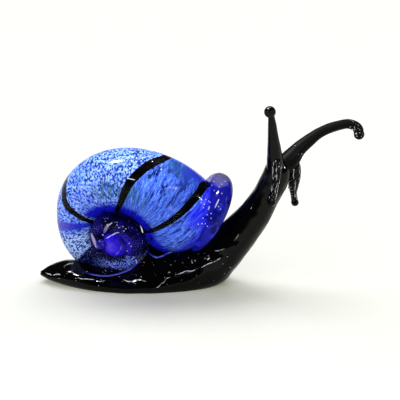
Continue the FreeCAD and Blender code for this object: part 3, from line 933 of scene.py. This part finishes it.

# Silver specks on the lip and round the spire: crumbs of the foil that came off while they
# were rolled. The specks on the casing and on the drop, the splinters and the curls are
# painted glints and painted highlight lines. Then bright blue lines along the bottom of the
# casing, which are painted refraction highlights, and a painted arc of light along the dome's
# edge.

speck_and_glint_radius, highlight_splinter_radius, highlight_curl_radius = 0.12, 0.15, 0.11
painted_highlight_curls = (((-7.1, -5.1, 11.6), (-6.5, -5.2, 12.0), (-5.8, -5.2, 12.4), (-5.0, -5.3, 12.9),
               (-4.3, -5.55, 13.1)),
              ((-6.9, -4.95, 14.3), (-6.3, -4.85, 14.7), (-5.8, -4.8, 15.1)),
              ((-8.0, -5.0, 12.5), (-7.7, -5.0, 12.2)),
              ((-2.4, -6.85, 25.65), (-1.6, -7.1, 25.55), (-0.7, -7.25, 25.4)),
              ((-0.7, -4.2, 5.4), (-0.7, -4.45, 5.9), (-0.85, -4.75, 6.6)))
foil_specks_and_glints = (
    (15.9, -1.4, 23.2), (15.5, -2.1, 22.6), (17.6, -3.2, 23.2), (18.3, -2.3, 23.5),
    (17.0, -3.9, 22.8), (16.0, -4.2, 22.1), (17.6, -5.4, 21.8), (14.2, -5.7, 20.6),
    (13.2, -6.8, 20.2), (14.8, -5.4, 20.1), (15.1, -5.6, 19.9), (13.8, -6.7, 19.8),
    (13.7, -7.1, 19.2), (16.9, -7.3, 19.5), (17.3, -7.5, 19.0), (14.5, -7.3, 17.7),
    (15.3, -7.7, 18.1), (13.6, -8.1, 17.2), (15.3, -8.2, 17.2), (12.6, -8.8, 16.1),
    (13.4, -8.5, 16.1), (14.1, -8.2, 16.0), (14.5, -8.4, 15.5),
    (-8.6, -5.45, 11.05), (-6.9, -4.75, 14.6), (-4.8, -5.05, 14.6), (-4.4, -5.25, 14.1),
    (-3.5, -5.05, 14.3), (-2.9, -5.15, 13.8), (-3.3, -5.45, 13.4), (-2.2, -5.65, 10.7),
    (-1.8, -5.55, 10.0), (-2.7, -5.05, 8.7), (4.7, -5.65, 27.25), (2.0, -6.45, 26.95),
    (7.9, -7.55, 23.65), (-1.6, -4.45, 28.85))
painted_highlight_splinters = (
    ((17.0, -6.3, 20.9), (16.1, -7.4, 19.2)), ((15.0, -6.2, 19.3), (14.7, -6.7, 18.5)))
tarnish, bright_silver = (0.60, 0.66, 1.0, 1), (0.95, 0.96, 1.0, 1)
silver_and_painted_highlights, tree, shader = new_finish("silver foil and painted highlights")
feed(shader, {"Base Color": blended(mottle(1500.0), tarnish, bright_silver),
              "Roughness": 0.5, "Specular IOR Level": 0.2})
glass = bmesh.new()
for place in foil_specks_and_glints:
    bmesh.ops.create_icosphere(glass, subdivisions=2, radius=speck_and_glint_radius,
                               matrix=Matrix.Translation(place))
for start, end in painted_highlight_splinters:
    run = Vector(end) - Vector(start)
    bmesh.ops.create_uvsphere(
        glass, u_segments=12, v_segments=12, radius=1.0,
        matrix=Matrix.Translation((Vector(start) + Vector(end)) / 2)
        @ run.to_track_quat("Z", "Y").to_matrix().to_4x4()
        @ Matrix.Diagonal((highlight_splinter_radius, highlight_splinter_radius, run.length / 2, 1)))
for line in painted_highlight_curls:
    laid_thread(glass, line, highlight_curl_radius)
set_down(glass, "silver_specks_and_glints", ["shell_lip"], silver_and_painted_highlights)

# Bright blue lines along the bottom of the casing, and the arc on the dome: painted highlights
refraction_line_radius = 0.17
refraction_highlight_lines = {
    "whorl_refraction_highlight": ("shell_casing", (
        (-12.0, -3.9, 3.5), (-10.8, -4.5, 3.2), (-9.7, -4.8, 3.1), (-8.4, -5.0, 3.0),
        (-6.9, -4.8, 2.9), (-4.8, -3.9, 3.0), (-2.9, -3.5, 3.6), (-1.3, -4.0, 4.7),
        (-0.4, -4.4, 5.9), (-0.1, -4.6, 6.7))),
    "belly_refraction_highlight": ("shell_casing", (
        (1.7, -3.5, 7.8), (2.2, -3.9, 7.6), (3.3, -4.7, 7.2), (4.3, -4.8, 7.3),
        (5.0, -4.9, 7.6), (6.3, -6.8, 8.9), (7.0, -7.6, 9.4))),
    "dome_arc": ("shell_spire", (
        (-3.75, -5.90, 10.7), (-3.95, -5.82, 9.6), (-4.45, -5.52, 8.7), (-5.2, -5.05, 7.85))),
}
refraction_line_dark, refraction_line_bright = (0.010, 0.010, 0.50, 1), (0.13, 0.15, 1.0, 1)
refraction_highlight_glass, tree, shader = new_finish("painted refraction highlight")
feed(shader, {"Base Color": blended(fade(mottle(450.0, 1.0), 0.38, 0.54), refraction_line_dark, refraction_line_bright),
              "Roughness": 0.08})
for name, (solid, line) in refraction_highlight_lines.items():
    glass = bmesh.new()
    laid_thread(glass, line, refraction_line_radius)
    set_down(glass, name, [solid], refraction_highlight_glass)

# Stage: a white sheet under the figurine, soft light from above, a few small lamps for the
# sparkle, and the camera a little above the table, square to the spire's side.

sheet_material, tree, shader = new_finish("white sheet")
rays = node("ShaderNodeLightPath").outputs
seen = math_node("ADD", rays["Is Camera Ray"], rays["Is Glossy Ray"])
seen = math_node("ADD", seen, rays["Is Transmission Ray"], clamp=True)
feed(shader, {"Base Color": (0.90, 0.91, 0.89, 1), "Roughness": 0.8, "Specular IOR Level": 0.1,
              "Emission Color": (1.0, 1.0, 0.74, 1), "Emission Strength": times(seen, 0.20)})
sheet_half_width_m = 3.0
sheet = bmesh.new()
bmesh.ops.create_grid(sheet, x_segments=1, y_segments=1, size=sheet_half_width_m)
mesh = bpy.data.meshes.new("white_sheet")
sheet.to_mesh(mesh)
sheet.free()
mesh.materials.append(sheet_material)
floor = bpy.data.objects.new("white_sheet", mesh)
bpy.context.scene.collection.objects.link(floor)

world = bpy.data.worlds.new("studio")
bpy.context.scene.world = world
world.use_nodes = True
tree = world.node_tree
background = tree.nodes["Background"]
height = split(node("ShaderNodeTexCoord").outputs["Generated"])[2]
rays = node("ShaderNodeLightPath").outputs
dome = math_node("MULTIPLY_ADD", fade(height, 0.20, -0.02), 0.96, 0.04)
dome = math_node("MAXIMUM", dome, rays["Is Camera Ray"])
dome = math_node("MAXIMUM", dome, rays["Is Transmission Ray"])
feed(background, {"Strength": dome, "Color": (1.0, 1.0, 1.0, 1)})

sparkle, lamp_distance = 550.0, 400
lamp_aim = Vector((0, -5, 15))


def sky(name, toward, strength, spread):
    """Even soft light from one side of the room, with no reflection of its own."""
    light = bpy.data.lights.new(name, "SUN")
    light.energy = strength
    light.angle = math.radians(spread)
    made = bpy.data.objects.new(name, light)
    made.rotation_euler = Vector(toward).to_track_quat("Z", "Y").to_euler()
    made.visible_glossy = False
    bpy.context.scene.collection.objects.link(made)


def lamp(name, toward, size):
    """A bright lamp some way from the shell, for one of the sparkles in the glass."""
    light = bpy.data.lights.new(name, "AREA")
    light.shape = "RECTANGLE"
    light.size, light.size_y = size[0] * mm, size[1] * mm
    light.energy = sparkle * size[0] * size[1] * mm * mm * math.pi
    made = bpy.data.objects.new(name, light)
    made.location = (lamp_aim + Vector(toward).normalized() * lamp_distance) * mm
    made.rotation_euler = Vector(toward).to_track_quat("Z", "Y").to_euler()
    made.visible_diffuse = False
    made.visible_transmission = False
    bpy.context.scene.collection.objects.link(made)


sky("key_light_left", (-0.36, 0.52, 0.78), 1.45, 40)
sky("key_light_right", (0.30, 0.52, 0.80), 1.35, 40)
sky("fill_light", (-0.40, -0.75, 0.52), 1.15, 90)
lamp("lamp_over", (-0.41, 0.06, 0.91), (24, 80))
for place in range(5):
    lamp(f"lamp_row_{place}", (-0.25 + 0.15 * place, 0.30, 0.93), (24, 5))
lamp("lamp_top", (-0.15, 0.17, 0.97), (8, 8))
lamp("lamp_front", (0.35, -0.05, 0.93), (8, 12))
lamp("lamp_left", (-0.74, -0.42, 0.51), (8, 8))
lamp("lamp_right", (0.45, -0.62, 0.62), (60, 6))
lamp("lamp_side", (0.89, -0.10, 0.44), (8, 50))

camera_data = bpy.data.cameras.new("camera")
camera_data.lens = 140.0
camera_data.sensor_width = 36.0
camera = bpy.data.objects.new("camera", camera_data)
bpy.context.scene.collection.objects.link(camera)
camera_distance, elevation = 336, math.radians(18)
target = Vector((12.96, 0, 18.6))
eye = target + Vector((0, -math.cos(elevation), math.sin(elevation))) * camera_distance
camera.location = eye * mm
camera.rotation_euler = (target - eye).to_track_quat("-Z", "Y").to_euler()
bpy.context.scene.camera = camera
bpy.context.scene.view_settings.view_transform = "Standard"
